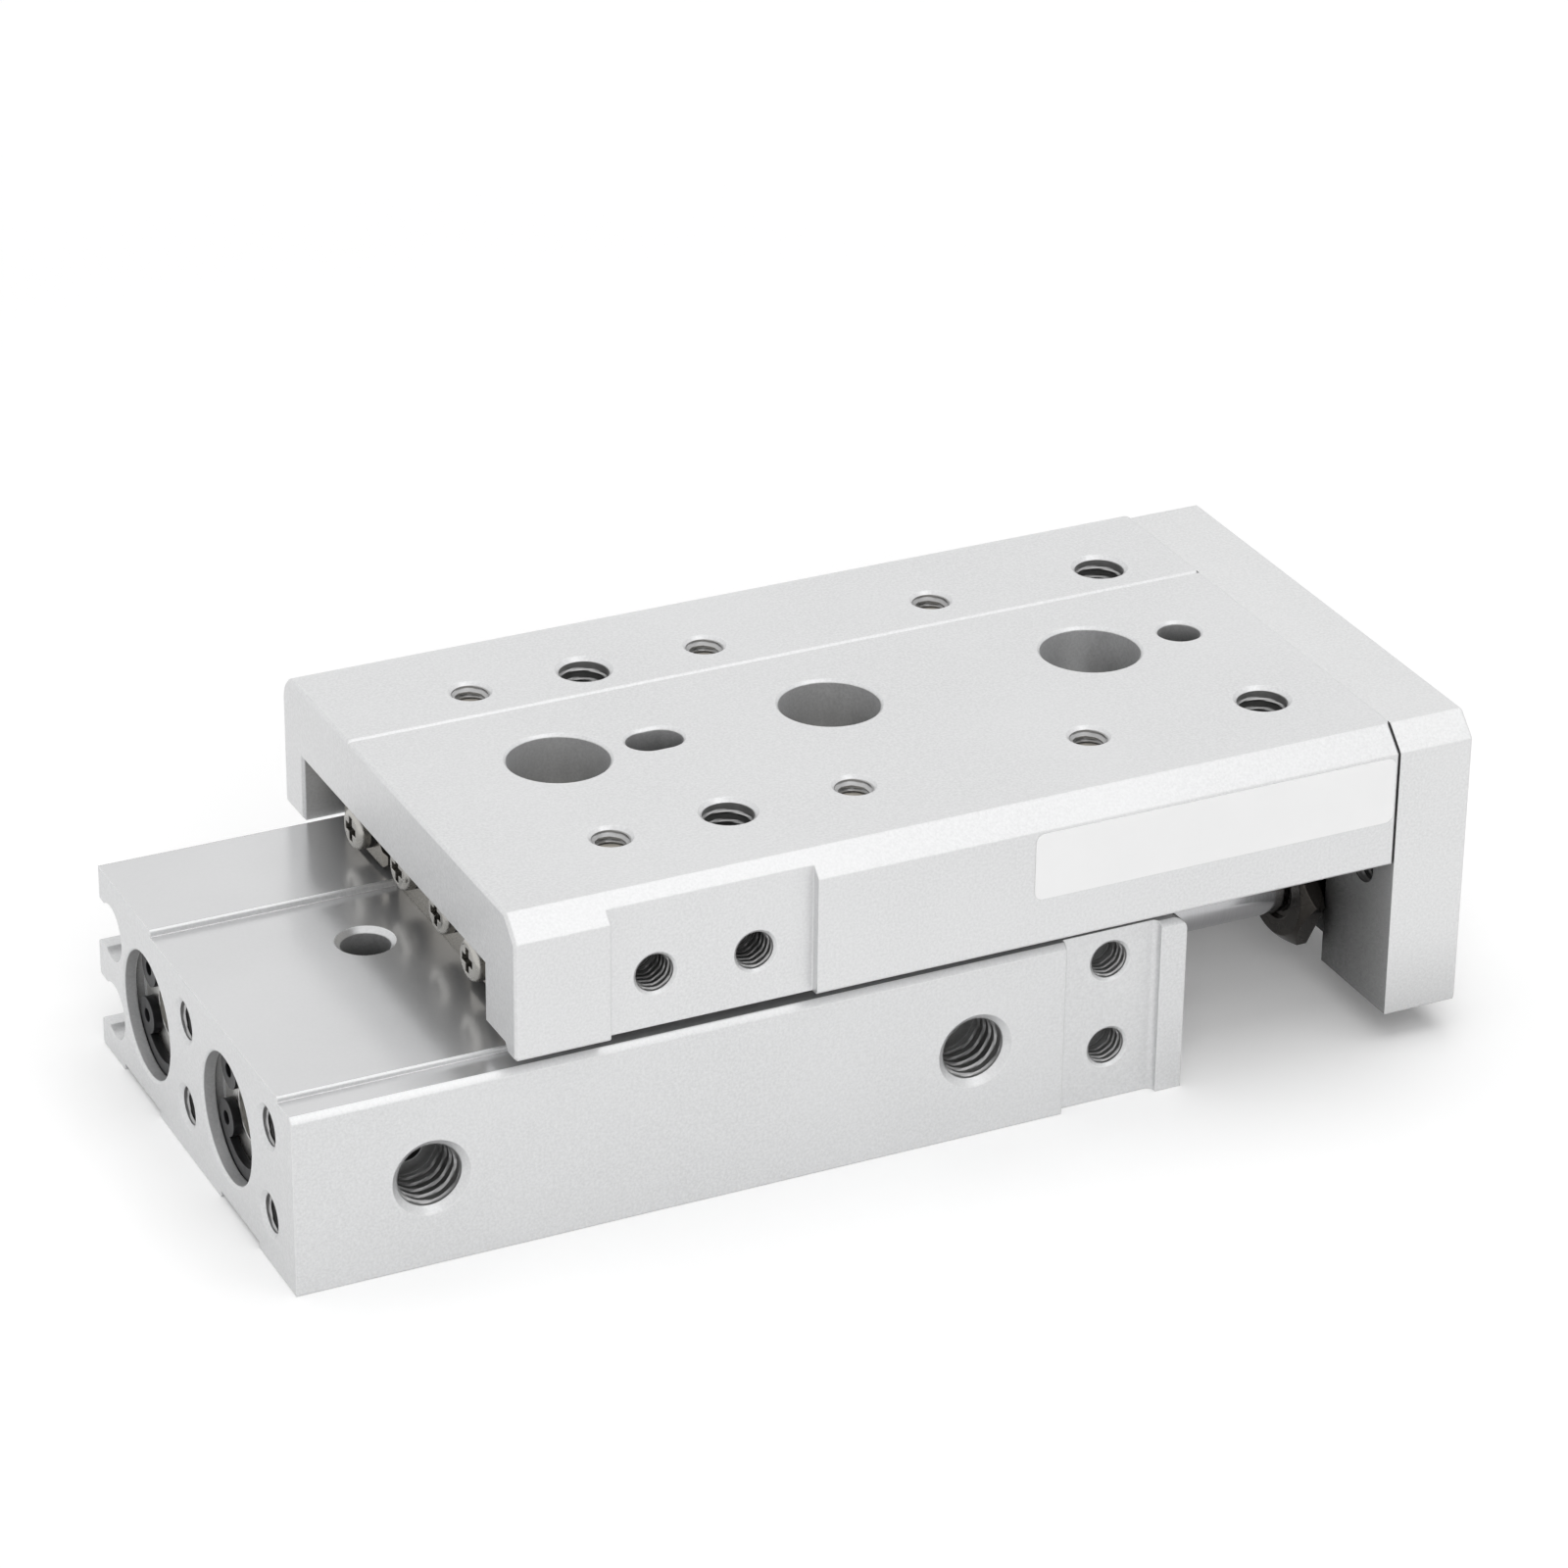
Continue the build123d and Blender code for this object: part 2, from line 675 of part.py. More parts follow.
def end_plate_bolts():
    """Four cap screws from the outside into the table's end."""
    seat = plate_right - plate_bolt_head_height - edge_break
    length = seat - table_right + plate_bolt_depth - screw_gap
    screw = Rot(0, 90, 0) * cap_screw(plate_bolt, length, plate_bolt_head, plate_bolt_head_height)
    return [Pos(seat, y, plate_bolt_place) * screw for y in plate_bolt_sides()]


def rod_end_screw(y):
    """The cap screw that ties the plate and bushing to the rod's end."""
    seat = plate_right - rod_screw_head_height - edge_break
    length = seat - bushing_right + rod_screw_depth - screw_gap
    screw = Rot(0, 90, 0) * cap_screw(rod_screw, length, rod_screw_head, rod_screw_head_height)
    return Pos(seat, y, bore_height) * screw


def piston_rod(y):
    """The rod from inside the piston to the floating bushing, tapped at its end."""
    start = piston_left + piston_bumper + piston_wall
    solid = bar_x(rod, start, bushing_right, y, bore_height)
    solid = chamfer(solid.edges().filter_by(GeomType.CIRCLE), edge_break)
    hole = rod_screw + 2 * screw_gap
    return solid - bar_x(hole, bushing_right - rod_screw_depth, bushing_right, y, bore_height)


def piston_marks():
    """X where the piston's body, magnet groove and seal groove begin."""
    body = piston_left + piston_bumper
    land = (piston_length - magnet_width - piston_seal_width) / 3
    magnet = body + land
    seal = magnet + magnet_width + land
    return body, magnet, seal


def piston(y):
    """The piston: a bobbin with grooves for its magnet and its seal."""
    body, magnet, seal = piston_marks()
    end = body + piston_length
    outer = bore / 2 - piston_gap
    points = [(body, 0), (body, outer - edge_break), (body + edge_break, outer), (magnet, outer),
              (magnet, outer - magnet_depth), (magnet + magnet_width, outer - magnet_depth),
              (magnet + magnet_width, outer), (seal, outer), (seal, outer - seal_depth),
              (seal + piston_seal_width, outer - seal_depth), (seal + piston_seal_width, outer),
              (end - edge_break, outer), (end, outer - edge_break), (end, 0)]
    solid = turned(points, y, bore_height)
    start = body + piston_wall - screw_gap
    return solid - bar_x(rod + 2 * screw_gap, start, end, y, bore_height)


def ring_in_groove(start, width, inner, outer, y):
    """A plain square-cut ring."""
    end = start + width
    return turned([(start, inner), (start, outer), (end, outer), (end, inner)], y, bore_height)


def magnet(y):
    """The ring magnet that the sensors read."""
    start = piston_marks()[1]
    floor = bore / 2 - piston_gap - magnet_depth
    gap = screw_gap
    return ring_in_groove(start + gap, magnet_width - 2 * gap, floor + gap, floor + magnet_depth - gap, y)


def piston_seal(y):
    """The rubber seal: a ring with a lip that runs on the bore."""
    start = piston_marks()[2] + screw_gap
    floor = bore / 2 - piston_gap - seal_depth + screw_gap
    outer = bore / 2 - piston_seal_gap
    width = piston_seal_width - 2 * screw_gap
    end = start + width
    lip = width / 4
    points = [(start, floor), (start, outer - edge_break), (start + lip, outer), (end - lip, outer),
              (end, outer - edge_break), (end, floor)]
    return turned(points, y, bore_height)


def piston_bumpers(y):
    """The rubber discs on the two ends of the piston."""
    outer = bumper_diameter / 2
    head = bar_x(2 * outer, piston_left, piston_left + piston_bumper, y, bore_height)
    inner = rod / 2 + screw_gap
    tail = ring_in_groove(piston_right - piston_bumper, piston_bumper, inner, outer, y)
    return [head, tail]


def head_cap(y):
    """The resin cap in the left end of a bore, with a seal groove and a hollow face."""
    outer = cap_bore / 2 - cap_gap
    groove_floor = outer - o_ring * o_ring_squash
    groove = (cap_left + cap_right) / 2
    width = o_ring + 2 * screw_gap
    groove_left = groove - width / 2
    groove_right = groove + width / 2
    recess_end = cap_left + cap_recess_depth
    hollow = cap_recess / 2
    points = [(cap_left, hollow), (cap_left, outer), (groove_left, outer), (groove_left, groove_floor),
              (groove_right, groove_floor), (groove_right, outer), (cap_right - edge_break, outer),
              (cap_right, outer - edge_break), (cap_right, 0), (recess_end, 0), (recess_end, hollow)]
    return turned(points, y, bore_height)


def o_ring_at(middle, y):
    """A seal ring in a groove of a cap or gland, pressed to a flat-sided ring."""
    outer = cap_bore / 2 - cap_gap / 2
    inner = cap_bore / 2 - cap_gap - o_ring * o_ring_squash + screw_gap
    half = o_ring / 2
    soft = o_ring / 4
    points = [(middle - half + soft, inner), (middle - half, inner + soft), (middle - half, outer - soft),
              (middle - half + soft, outer), (middle + half - soft, outer), (middle + half, outer - soft),
              (middle + half, inner + soft), (middle + half - soft, inner)]
    return turned(points, y, bore_height)


def retaining_ring(start, y, lug):
    """A C-shaped spring ring in its groove; its gap faces about +Y, with a drilled lug each side of it."""
    outer = cap_bore / 2 + groove_depth - ring_gap
    band = Circle(outer) - Circle(outer - ring_width)
    half = math.radians(ring_opening / 2)
    far = 2 * outer
    band -= make_face(Polyline((0, 0), (far * math.cos(half), far * math.sin(half)), (2 * far, 0),
                               (far * math.cos(half), -far * math.sin(half)), close=True))
    reach = outer - lug / 2 - ring_lug_inset
    for side in (-1, 1):
        spot = Pos(reach * math.cos(half), side * reach * math.sin(half))
        band += spot * Circle(lug / 2)
        band -= spot * Circle(ring_lug_hole / 2)
    face = Plane.YZ * (Pos(y, bore_height) * Rot(0, 0, ring_tilt) * band)
    return along(face, start, start + ring_thickness)


def rod_gland(y):
    """The bearing and seal holder that the rod runs through at the right end."""
    outer = cap_bore / 2 - cap_gap
    inner = rod / 2 + rod_gap
    nose = gland_shoulder
    middle = gland_o_ring_place()
    width = o_ring + 2 * screw_gap
    floor = outer - o_ring * o_ring_squash
    seal = rod_seal_place()
    seal_end = seal + rod_seal_width
    seal_outer = rod / 2 + rod_seal_depth
    points = [(gland_left, inner), (gland_left, gland_nose / 2), (nose, gland_nose / 2), (nose, outer),
              (middle - width / 2, outer), (middle - width / 2, floor), (middle + width / 2, floor),
              (middle + width / 2, outer), (gland_right, outer), (gland_right, inner),
              (seal_end, inner), (seal_end, seal_outer), (seal, seal_outer), (seal, inner)]
    return turned(points, y, bore_height)


def gland_o_ring_place():
    """X of the middle of the gland's seal ring."""
    return gland_shoulder + o_ring_inset


def rod_seal_place():
    """X where the rod seal's groove starts in the gland."""
    return gland_right - rod_seal_inset


def rod_seal(y):
    """The lip seal round the rod."""
    gap = screw_gap
    start = rod_seal_place() + gap
    outer = rod / 2 + rod_seal_depth - gap
    inner = rod / 2 + rod_seal_gap
    width = rod_seal_width - 2 * gap
    points = [(start, inner + edge_break), (start + width / 2, inner), (start + width, inner + edge_break),
              (start + width, outer), (start, outer)]
    return turned(points, y, bore_height)


def floating_bushing(y):
    """The hexagonal bushing on the rod's end, with a round boss in the plate's notch."""
    corner = bushing_flats / math.sqrt(3)
    flange_end = table_right - bushing_seat_gap
    hexagon = Plane.YZ * (Pos(y, bore_height) * RegularPolygon(corner, 6))
    slope = bushing_chamfer + bushing_left
    profile = [(bushing_left, 0), (bushing_left, bushing_face / 2), (slope, corner), (flange_end, corner),
               (flange_end, 0)]
    solid = along(hexagon, bushing_left, flange_end) & turned(profile, y, bore_height)
    solid += bar_x(bushing_boss, flange_end, bushing_right, y, bore_height)
    hole = rod + 2 * screw_gap
    relief_end = bushing_left + bushing_relief_depth
    solid -= bar_x(hole + 2 * bushing_relief, bushing_left, relief_end, y, bore_height)
    return solid - bar_x(hole, bushing_left, bushing_right, y, bore_height)


def save(name, pieces):
    """One file for each node; a list of pieces is a group of separate solids."""
    shape = Compound(children=list(pieces)) if isinstance(pieces, list) else pieces
    export_step(shape, f"parts/{name}.step")


os.makedirs("parts", exist_ok=True)
save("cylinder_body", cylinder_body())
save("guide_rail", guide_rail())
save("rail_screws", rail_screws())
save("rail_stopper_screws", stopper_screws(rail_left, rail_right, stopper_rail_side))
save("rail_stop_washers", stopper_washers(rail_left, rail_right, stopper_rail_side))
save("table", table())
save("label_film", label_film())
save("end_plate", end_plate())
save("end_plate_bolts", end_plate_bolts())
save("guide_screws", guide_screws())
save("guide_stopper_screws", stopper_screws(guide_left, guide_right, stopper_guide_side))
save("guide_stop_washers", stopper_washers(guide_left, guide_right, stopper_guide_side))
for label, side, y in (("front", -1, bore_sides[0]), ("rear", 1, bore_sides[1])):
    save(f"guide_{label}", guide(side))
    save(f"roller_cage_{label}", roller_cage(side))
    save(f"rollers_{label}", rollers(side))
    save(f"head_cap_{label}", head_cap(y))
    save(f"head_cap_seal_{label}", o_ring_at((cap_left + cap_right) / 2, y))
    save(f"head_cap_ring_{label}", retaining_ring(body_left + ring_inset, y, ring_lug))
    save(f"rod_gland_{label}", rod_gland(y))
    save(f"gland_seal_{label}", o_ring_at(gland_o_ring_place(), y))
    save(f"rod_seal_{label}", rod_seal(y))
    save(f"gland_ring_{label}", retaining_ring(gland_right + ring_gap, y, gland_ring_lug))
    save(f"piston_rod_{label}", piston_rod(y))
    save(f"piston_{label}", piston(y))
    save(f"magnet_{label}", magnet(y))
    save(f"piston_seal_{label}", piston_seal(y))
    save(f"piston_bumpers_{label}", piston_bumpers(y))
    save(f"floating_bushing_{label}", floating_bushing(y))
    save(f"rod_end_screw_{label}", rod_end_screw(y))
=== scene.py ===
import json
import math
import bpy
import numpy as np
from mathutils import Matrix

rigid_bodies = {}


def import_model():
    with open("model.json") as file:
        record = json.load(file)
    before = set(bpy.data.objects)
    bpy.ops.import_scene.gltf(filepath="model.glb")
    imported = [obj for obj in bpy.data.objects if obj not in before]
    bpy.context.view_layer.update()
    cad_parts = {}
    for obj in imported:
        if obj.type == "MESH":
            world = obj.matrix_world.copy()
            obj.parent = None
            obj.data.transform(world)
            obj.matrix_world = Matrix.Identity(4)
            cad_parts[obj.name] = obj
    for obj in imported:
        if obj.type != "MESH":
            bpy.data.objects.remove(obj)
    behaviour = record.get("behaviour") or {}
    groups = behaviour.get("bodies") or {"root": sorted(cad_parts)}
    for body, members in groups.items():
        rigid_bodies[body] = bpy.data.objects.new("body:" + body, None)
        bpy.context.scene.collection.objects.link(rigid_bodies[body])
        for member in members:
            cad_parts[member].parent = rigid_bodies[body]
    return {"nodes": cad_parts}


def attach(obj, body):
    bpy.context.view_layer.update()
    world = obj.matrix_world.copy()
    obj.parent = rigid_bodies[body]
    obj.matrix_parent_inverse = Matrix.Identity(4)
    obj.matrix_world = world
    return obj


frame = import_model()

# Blender's own start-up objects, where there are any, are taken away.
for spare in [o for o in bpy.data.objects if o.name in ("Cube", "Light", "Camera")]:
    bpy.data.objects.remove(spare)
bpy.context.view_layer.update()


# Cylinder body
# The body is an aluminium extrusion, machined all round and silver anodised.
# Its top is milled smoother than its sides, because the rail is bolted down on it.

MM = 0.001
BLACK = [0.0, 0.0, 0.0, 1.0]


def effect(name, takes, gives):
    """An empty node group with named inputs (name, kind, value) and named outputs (name, kind)."""
    group = bpy.data.node_groups.new(name, "ShaderNodeTree")
    for label, kind, value in takes:
        socket = group.interface.new_socket(name=label, in_out="INPUT", socket_type=kind)
        socket.default_value = value
    for label, kind in gives:
        group.interface.new_socket(name=label, in_out="OUTPUT", socket_type=kind)
    return group, group.nodes.new("NodeGroupInput"), group.nodes.new("NodeGroupOutput")


def node(tree, kind, settings=None, **values):
    """A shader node with its settings, and with values or links on its inputs.

    An input is given by its name, or by the letter i and its number where names repeat.
    """
    made = tree.nodes.new(kind)
    for key, value in (settings or {}).items():
        setattr(made, key, value)
    for key, value in values.items():
        numbered = key[0] == "i" and key[1:].isdigit()
        socket = made.inputs[int(key[1:]) if numbered else key]
        if isinstance(value, bpy.types.NodeSocket):
            tree.links.new(value, socket)
        else:
            socket.default_value = value
    return made


def maths(tree, operation, a, b):
    """One step of arithmetic between two values."""
    return node(tree, "ShaderNodeMath", {"operation": operation}, i0=a, i1=b).outputs[0]


def between(tree, value, low, high, start, end):
    """A value carried from one range to another and held at its ends."""
    return node(tree, "ShaderNodeMapRange", i0=value, i1=low, i2=high, i3=start, i4=end).outputs[0]


def from_mask(tree, mask, start, end):
    """A mask of 0 to 1 turned into a value that runs from start to end."""
    return between(tree, mask, 0.0, 1.0, start, end)


def blend(tree, amount, first, second):
    """Two values mixed by an amount."""
    mix = node(tree, "ShaderNodeMix", {"data_type": "FLOAT"}, i0=amount, i2=first, i3=second)
    return mix.outputs[0]


def blend_colour(tree, amount, first, second):
    """Two colours mixed by an amount."""
    mix = node(tree, "ShaderNodeMix", {"data_type": "RGBA"}, i0=amount, i6=first, i7=second)
    return mix.outputs[2]


def tint(colour, share=1.0):
    """A colour made paler or darker by a share, as four numbers."""
    return [min(1.0, c * share) for c in colour] + [1.0]


def effect_in(tree, group, **values):
    """A node group placed in a material with its own values."""
    made = tree.nodes.new("ShaderNodeGroup")
    made.node_tree = group
    for key, value in values.items():
        made.inputs[key].default_value = value
    return made


# Rounded edges: the light runs round each machined edge, and the edge itself is painted a touch paler as
# a highlight.
# Edge grows from 0 to 1 as the cosine of the flat and the rounded normal falls from 0.995 to 0.8.
soft_edge, takes, gives = effect(
    "soft_edge",
    [("Radius", "NodeSocketFloat", 0.1 * MM)],
    [("Normal", "NodeSocketVector"), ("Edge", "NodeSocketFloat")])
rounded = node(soft_edge, "ShaderNodeBevel", {"samples": 6})
soft_edge.links.new(takes.outputs["Radius"], rounded.inputs["Radius"])
flat = node(soft_edge, "ShaderNodeNewGeometry").outputs["Normal"]
turn = node(soft_edge, "ShaderNodeVectorMath", {"operation": "DOT_PRODUCT"},
            i0=rounded.outputs[0], i1=flat)
edge = between(soft_edge, turn.outputs["Value"], 0.995, 0.8, 0.0, 1.0)
soft_edge.links.new(rounded.outputs[0], gives.inputs["Normal"])
soft_edge.links.new(edge, gives.inputs["Edge"])

# Blasted grain: even pits of one size, and a slow cloudiness from the anodising bath.
# Fine and Slow say how often each repeats in a metre.
blasted, takes, gives = effect(
    "blasted_grain",
    [("Fine", "NodeSocketFloat", 6000.0), ("Slow", "NodeSocketFloat", 90.0)],
    [("Grain", "NodeSocketFloat"), ("Cloud", "NodeSocketFloat")])
place = node(blasted, "ShaderNodeTexCoord").outputs["Object"]
pits = node(blasted, "ShaderNodeTexNoise", Vector=place, Detail=2.0, Roughness=0.6)
blasted.links.new(takes.outputs["Fine"], pits.inputs["Scale"])
cloud = node(blasted, "ShaderNodeTexNoise", Vector=place, Detail=3.0, Roughness=0.5)
blasted.links.new(takes.outputs["Slow"], cloud.inputs["Scale"])
blasted.links.new(between(blasted, pits.outputs["Fac"], 0.3, 0.7, 0.0, 1.0), gives.inputs["Grain"])
blasted.links.new(between(blasted, cloud.outputs["Fac"], 0.35, 0.65, 0.0, 1.0), gives.inputs["Cloud"])

# Tool lines: noise drawn out along one axis, as a cutter or a grinding wheel leaves it.
# Stretch says how often it repeats in a metre along X, Y and Z.
tool_lines, takes, gives = effect(
    "tool_lines",
    [("Stretch", "NodeSocketVector", (40.0, 4000.0, 4000.0))],
    [("Lines", "NodeSocketFloat")])
place = node(tool_lines, "ShaderNodeTexCoord").outputs["Object"]
drawn = node(tool_lines, "ShaderNodeVectorMath", {"operation": "MULTIPLY"}, i0=place)
tool_lines.links.new(takes.outputs["Stretch"], drawn.inputs[1])
streaks = node(tool_lines, "ShaderNodeTexNoise",
               Vector=drawn.outputs[0], Scale=1.0, Detail=3.0, Roughness=0.65)
lined = between(tool_lines, streaks.outputs["Fac"], 0.3, 0.7, 0.0, 1.0)
tool_lines.links.new(lined, gives.inputs["Lines"])


def hollows(name, alone):
    """A painted-shade group that is 1 on open faces and falls to Low where a point is nearly all
    covered.

    The open share of the half sphere over a point, out to Reach, is carried from Closed and Clear to
    Low and 1. With alone set, only the piece's own form covers the point, so nothing changes when the
    pieces beside it slide away.
    """
    group, takes, gives = effect(
        name,
        [("Reach", "NodeSocketFloat", 5.0 * MM), ("Low", "NodeSocketFloat", 0.35),
         ("Closed", "NodeSocketFloat", 0.08), ("Clear", "NodeSocketFloat", 0.44)],
        [("Open", "NodeSocketFloat")])
    cover = node(group, "ShaderNodeAmbientOcclusion", {"samples": 8, "only_local": alone})
    share = node(group, "ShaderNodeMapRange", i0=cover.outputs["AO"], i4=1.0)
    group.links.new(takes.outputs["Reach"], cover.inputs["Distance"])
    group.links.new(takes.outputs["Closed"], share.inputs[1])
    group.links.new(takes.outputs["Clear"], share.inputs[2])
    group.links.new(takes.outputs["Low"], share.inputs[3])
    group.links.new(share.outputs[0], gives.inputs["Open"])
    return group


# Painted shade: deep holes are painted darker than open faces, by how much of the piece's own form
# covers them.
painted_hollow_shade = hollows("painted_hollow_shade", True)


def darkened(tree, group, colour, **values):
    """A colour painted towards black, as shade, where the group finds the surface covered."""
    hollow = effect_in(tree, group, **values)
    return blend_colour(tree, hollow.outputs["Open"], BLACK, colour)


def relief(tree, height, strength, **under):
    """The normal of a skin raised by a height in metres, laid over the normal in under, if any."""
    bump = node(tree, "ShaderNodeBump", Strength=strength, Distance=1.0, Height=height, **under)
    return bump.outputs["Normal"]


def finish(name):
    """A new material: itself, its node tree and its Principled shader."""
    material = bpy.data.materials.new(name)
    material.use_nodes = True
    return material, material.node_tree, material.node_tree.nodes["Principled BSDF"]


def wire(tree, shader, colour, rough, normal):
    """Colour, roughness and normal, which change over the surface, led into the shader."""
    tree.links.new(colour, shader.inputs["Base Color"])
    tree.links.new(rough, shader.inputs["Roughness"])
    tree.links.new(normal, shader.inputs["Normal"])


def dress(material, *names):
    """The material on every slot of the named CAD nodes."""
    for name in names:
        for slot in frame["nodes"][name].material_slots:
            slot.material = material


def faces_up_above(tree, level):
    """A mask of the faces that look up and lie above a level in metres; it grows over 0.1 mm."""
    place = node(tree, "ShaderNodeTexCoord").outputs["Object"]
    z = node(tree, "ShaderNodeSeparateXYZ", Vector=place).outputs["Z"]
    facing = node(tree, "ShaderNodeNewGeometry").outputs["Normal"]
    up = node(tree, "ShaderNodeSeparateXYZ", Vector=facing).outputs["Z"]
    high = between(tree, z, level - 0.1 * MM, level, 0.0, 1.0)
    return maths(tree, "MULTIPLY", high, between(tree, up, 0.6, 0.9, 0.0, 1.0))


def anodised(name, colour, milled_above=None,
             around=painted_hollow_shade, reach=22.0, low=0.13, closed=0.08, clear=0.41):
    """Silver anodised aluminium: speckled by blasting, clouded by the bath, with a painted highlight on
    its edges.

    Faces that look up above milled_above, in metres, are smoother. The group around paints shade on what
    is covered within reach, in millimetres, as far as low, closed and clear say.
    """
    pit_depth, line_depth = 0.0035 * MM, 0.00002 * MM
    highlight_colour = [0.93, 0.93, 0.93, 1.0]
    material, tree, shader = finish(name)
    edge = effect_in(tree, soft_edge, Radius=0.14 * MM)
    grain = effect_in(tree, blasted, Fine=5200.0, Slow=70.0)
    pits = grain.outputs["Grain"]
    rough = from_mask(tree, pits, 0.36, 0.46)
    height = maths(tree, "MULTIPLY", pits, pit_depth)
    if milled_above is not None:
        milled = faces_up_above(tree, milled_above)
        pits = maths(tree, "MULTIPLY", pits, from_mask(tree, milled, 1.0, 0.2))
        lines = effect_in(tree, tool_lines, Stretch=(30.0, 2600.0, 2600.0)).outputs["Lines"]
        rough = blend(tree, milled, rough, from_mask(tree, lines, 0.2, 0.22))
        height = blend(tree, milled, height, maths(tree, "MULTIPLY", lines, line_depth))
    clouded = blend_colour(tree, grain.outputs["Cloud"], tint(colour, 0.95), tint(colour))
    speckled = blend_colour(tree, pits, clouded, tint(colour, 1.12))
    # Painted highlight: the rounded edges are painted paler.
    highlight_share = maths(tree, "MULTIPLY", edge.outputs["Edge"], 0.7)
    edged = blend_colour(tree, highlight_share, speckled, highlight_colour)
    # Painted shade where the group around finds the surface covered.
    shaded = darkened(tree, around, edged, Reach=reach * MM, Low=low, Closed=closed, Clear=clear)
    wire(tree, shader, shaded, rough, relief(tree, height, 0.6, Normal=edge.outputs["Normal"]))
    shader.inputs["Metallic"].default_value = 0.7
    return material


dress(anodised("body_aluminium", (0.672, 0.676, 0.68), milled_above=12.8 * MM), "cylinder_body")


# Tapped holes
# Threads are cut in the aluminium of the body, and their ridges stand inside its plain holes.
# All their places and sizes are in millimetres.

BACK, RIGHT, UP, DOWN = (0, 1, 0), (1, 0, 0), (0, 0, 1), (0, 0, -1)


def thread_sleeve(mouth, inward, core, wall, pitch, start, end):
    """The thread of one hole as a closed ring, in millimetres.

    At depth s and a share a of a turn, the inner radius is the wall's less a ridge. The ridge is a
    trapezoid with its flanks at 60 degrees to each other, and its middle lies where s / pitch - a is a
    whole number and a half. It fades in and out over half a pitch at both ends. The outer radius stays
    just inside the wall of the hole.
    """
    columns, rows_per_pitch = 36, 8
    root_gap, outer_gap = 0.012, 0.004
    inward = np.array(inward, float)
    side = np.array([0.0, 0.0, 1.0]) if abs(inward[2]) < 0.5 else np.array([1.0, 0.0, 0.0])
    other = np.cross(inward, side)
    steps = int(round((end - start) / pitch * rows_per_pitch)) + 1
    s = np.linspace(start, end, steps)[:, None]
    a = np.arange(columns)[None, :] / columns
    phase = np.mod(s / pitch - a, 1.0)
    away = np.abs(phase - 0.5) * pitch
    rise = wall - root_gap - core
    half_crest = pitch / 16
    flank = rise * math.tan(math.radians(30))
    ridge = np.clip((half_crest + flank - away) / flank, 0.0, 1.0)
    fade = np.clip(np.minimum(s - start, end - s) / (pitch / 2), 0.0, 1.0)
    inner = wall - root_gap - rise * ridge * fade
    radius = np.vstack([inner, np.full((2, columns), wall - outer_gap)])
    depth = np.vstack([np.broadcast_to(s, inner.shape),
                       np.full((1, columns), end), np.full((1, columns), start)])
    angle = np.broadcast_to(a * 2 * math.pi, radius.shape)
    across = (radius * np.cos(angle))[..., None] * side + (radius * np.sin(angle))[..., None] * other
    return np.array(mouth, float) + depth[..., None] * inward + across


def ring_faces(rows, columns, first):
    """Quads of a grid that closes on itself both ways, with its points counted from first."""
    r = np.arange(rows)[:, None]
    c = np.arange(columns)[None, :]
    down = (r + 1) % rows
    right = (c + 1) % columns
    corners = np.stack(np.broadcast_arrays(r * columns + c, r * columns + right,
                                           down * columns + right, down * columns + c), axis=-1)
    return corners.reshape(-1, 4) + first


def mesh_piece(name, points, faces, material, body):
    """One finished object in place, from points in millimetres; it rides on a body."""
    mesh = bpy.data.meshes.new(name)
    mesh.from_pydata((points * MM).tolist(), [], faces.tolist())
    mesh.polygons.foreach_set("use_smooth", np.ones(len(mesh.polygons), bool))
    mesh.set_sharp_from_angle(angle=math.radians(35))
    mesh.materials.append(material)
    piece = bpy.data.objects.new(name, mesh)
    bpy.context.scene.collection.objects.link(piece)
    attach(piece, body)


def threads(name, body, inward, mouths, **cut):
    """The threads of like holes as one piece: one sleeve at each mouth, all cut alike."""
    points, faces, first = [], [], 0
    for mouth in mouths:
        grid = thread_sleeve(mouth, inward, **cut)
        rows, columns = grid.shape[:2]
        points.append(grid.reshape(-1, 3))
        faces.append(ring_faces(rows, columns, first))
        first += rows * columns
    mesh_piece(name, np.vstack(points), np.vstack(faces), thread_metal, body)


def cut_thread(name):
    """Tapped aluminium: duller than the blasted faces, with a fine grain, and painted dark with shade
    inside.
    """
    material, tree, shader = finish(name)
    grain = effect_in(tree, blasted, Fine=9000.0, Slow=400.0)
    dull, bright = tint((0.43, 0.43, 0.43)), tint((0.51, 0.51, 0.51))
    colour = blend_colour(tree, grain.outputs["Cloud"], dull, bright)
    # Painted shade inside the holes.
    colour = darkened(tree, painted_hollow_shade, colour, Reach=6.0 * MM, Low=0.04)
    tree.links.new(colour, shader.inputs["Base Color"])
    tree.links.new(from_mask(tree, grain.outputs["Grain"], 0.38, 0.5), shader.inputs["Roughness"])
    shader.inputs["Metallic"].default_value = 0.9
    return material


thread_metal = cut_thread("thread_metal")
small_tap = dict(core=1.23, wall=1.34, pitch=0.5)
port_face, left_end, recess_face, underside = -19.2, -32.8, -18.55, 0.0
threads("port_threads", "base", BACK,
        [(x, port_face, 6.45) for x in (-23.35, 15.7)],
        core=2.067, wall=2.24, pitch=0.8, start=0.45, end=4.45)
threads("end_tap_threads", "base", RIGHT,
        [(left_end, y, z) for y in (0.3, -14.7) for z in (3.65, 10.1)],
        start=0.28, end=4.6, **small_tap)
threads("recess_tap_threads", "base", BACK,
        [(26.05, recess_face, z) for z in (4.0, 10.6)],
        start=0.2, end=2.5, **small_tap)
threads("mount_hole_threads", "base", UP,
        [(x, 0.0, underside) for x in (-20.0, 0.0, 20.0)],
        core=1.62, wall=1.7, pitch=0.7, start=0.4, end=6.0)


# Pistons, rods and bore fittings
# Two pistons with a ring magnet and a lip seal run in the bores. Their rods are ground and chromed.
# A cap at the left and a gland at the right are each kept in by a blackened spring ring.

